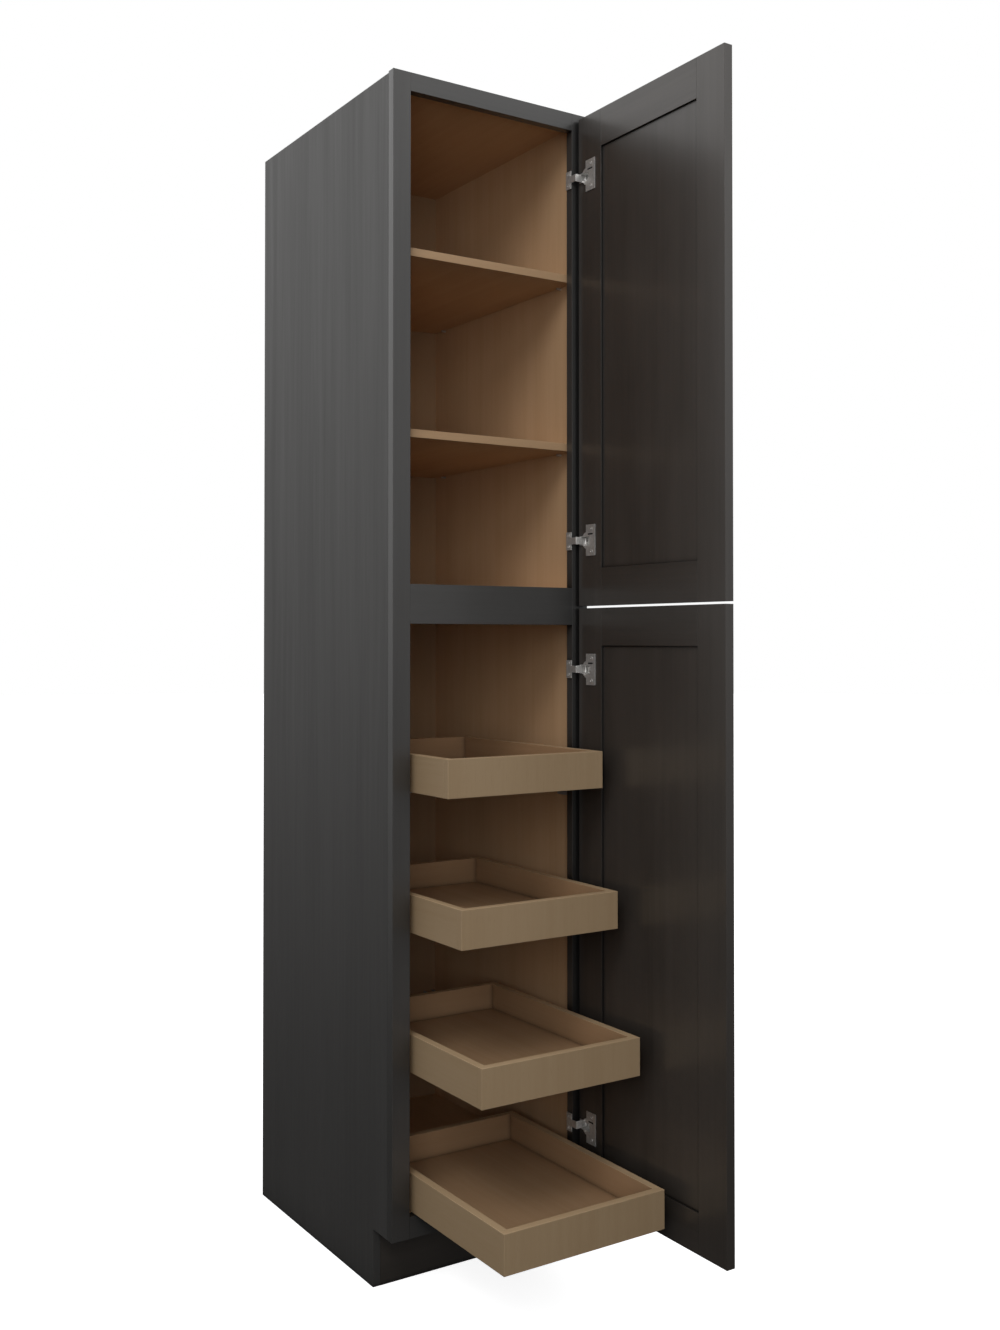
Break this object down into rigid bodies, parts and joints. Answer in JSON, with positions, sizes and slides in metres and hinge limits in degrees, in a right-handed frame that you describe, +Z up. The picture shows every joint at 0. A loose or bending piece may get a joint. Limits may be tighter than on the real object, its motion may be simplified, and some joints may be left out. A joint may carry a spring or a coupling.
{
  "type": "pantry cabinet",
  "caption": "Tall face-frame pantry cabinet with framed doors on concealed hinges, shelves above and roll-out trays below, on a recessed toe kick.",
  "frame": {"origin": "on the floor, midway between the sides and midway between the back and the leading edge of the doors open at a right angle", "axes": "+X to the right seen from the front, +Y to the back, +Z up"},
  "size_m": [0.4572, 1.06, 2.3368],
  "materials": {
    "stained_wood": "satin charcoal stain",
    "interior_wood": "clear satin maple",
    "tray_wood": "clear satin maple",
    "hinge_steel": "satin nickel plate",
    "hinge_pin": "plain",
    "screw": "nickel plate",
    "runner_steel": "zinc plate",
    "shelf_pin": "nickel plate"
  },
  "bodies": {
    "cabinet": {"left_side_panel": "stained_wood", "right_side_panel": "stained_wood", "back_panel": "interior_wood", "top_panel": "interior_wood", "middle_deck": "interior_wood", "bottom_deck": "interior_wood", "toe_kick": "stained_wood", "face_frame_left_stile": "stained_wood", "face_frame_right_stile": "stained_wood", "face_frame_top_rail": "stained_wood", "face_frame_middle_rail": "stained_wood", "face_frame_bottom_rail": "stained_wood", "upper_shelf": "interior_wood", "lower_shelf": "interior_wood", "shelf_pins": "shelf_pin", "upper_door_top_hinge_arm": "hinge_steel", "upper_door_bottom_hinge_arm": "hinge_steel", "lower_door_top_hinge_arm": "hinge_steel", "lower_door_bottom_hinge_arm": "hinge_steel", "hinge_mount_screws": "screw", "fixed_runners": "runner_steel", "runner_brackets": "runner_steel"},
    "upper_door": {"upper_door_hinge_stile": "stained_wood", "upper_door_latch_stile": "stained_wood", "upper_door_top_rail": "stained_wood", "upper_door_bottom_rail": "stained_wood", "upper_door_panel": "stained_wood", "upper_door_top_hinge_cup": "hinge_steel", "upper_door_bottom_hinge_cup": "hinge_steel", "upper_door_hinge_pins": "hinge_pin", "upper_door_hinge_screws": "screw"},
    "lower_door": {"lower_door_hinge_stile": "stained_wood", "lower_door_latch_stile": "stained_wood", "lower_door_top_rail": "stained_wood", "lower_door_bottom_rail": "stained_wood", "lower_door_panel": "stained_wood", "lower_door_top_hinge_cup": "hinge_steel", "lower_door_bottom_hinge_cup": "hinge_steel", "lower_door_hinge_pins": "hinge_pin", "lower_door_hinge_screws": "screw"},
    "tray_1": {"tray_1_front": "tray_wood", "tray_1_back": "tray_wood", "tray_1_sides": "tray_wood", "tray_1_bottom": "tray_wood", "tray_1_runners": "runner_steel"},
    "tray_2": {"tray_2_front": "tray_wood", "tray_2_back": "tray_wood", "tray_2_sides": "tray_wood", "tray_2_bottom": "tray_wood", "tray_2_runners": "runner_steel"},
    "tray_3": {"tray_3_front": "tray_wood", "tray_3_back": "tray_wood", "tray_3_sides": "tray_wood", "tray_3_bottom": "tray_wood", "tray_3_runners": "runner_steel"},
    "tray_4": {"tray_4_front": "tray_wood", "tray_4_back": "tray_wood", "tray_4_sides": "tray_wood", "tray_4_bottom": "tray_wood", "tray_4_runners": "runner_steel"}
  },
  "joints": [
    {"name": "upper_door_hinge", "type": "hinge", "parent": "cabinet", "child": "upper_door", "pos_m": [0.21425, -0.09355, 1.82], "axis": [0, 0, 1], "range_deg": [-90, 5]},
    {"name": "lower_door_hinge", "type": "hinge", "parent": "cabinet", "child": "lower_door", "pos_m": [0.21425, -0.09355, 0.72], "axis": [0, 0, 1], "range_deg": [-4, 5]},
    {"name": "tray_1_slide", "type": "slide", "parent": "cabinet", "child": "tray_1", "axis": [0, -1, 0], "range_m": [-0.1416, 0.2384]},
    {"name": "tray_2_slide", "type": "slide", "parent": "cabinet", "child": "tray_2", "axis": [0, -1, 0], "range_m": [-0.19, 0.19]},
    {"name": "tray_3_slide", "type": "slide", "parent": "cabinet", "child": "tray_3", "axis": [0, -1, 0], "range_m": [-0.2585, 0.1215]},
    {"name": "tray_4_slide", "type": "slide", "parent": "cabinet", "child": "tray_4", "axis": [0, -1, 0], "range_m": [-0.3305, 0.0495]}
  ]
}
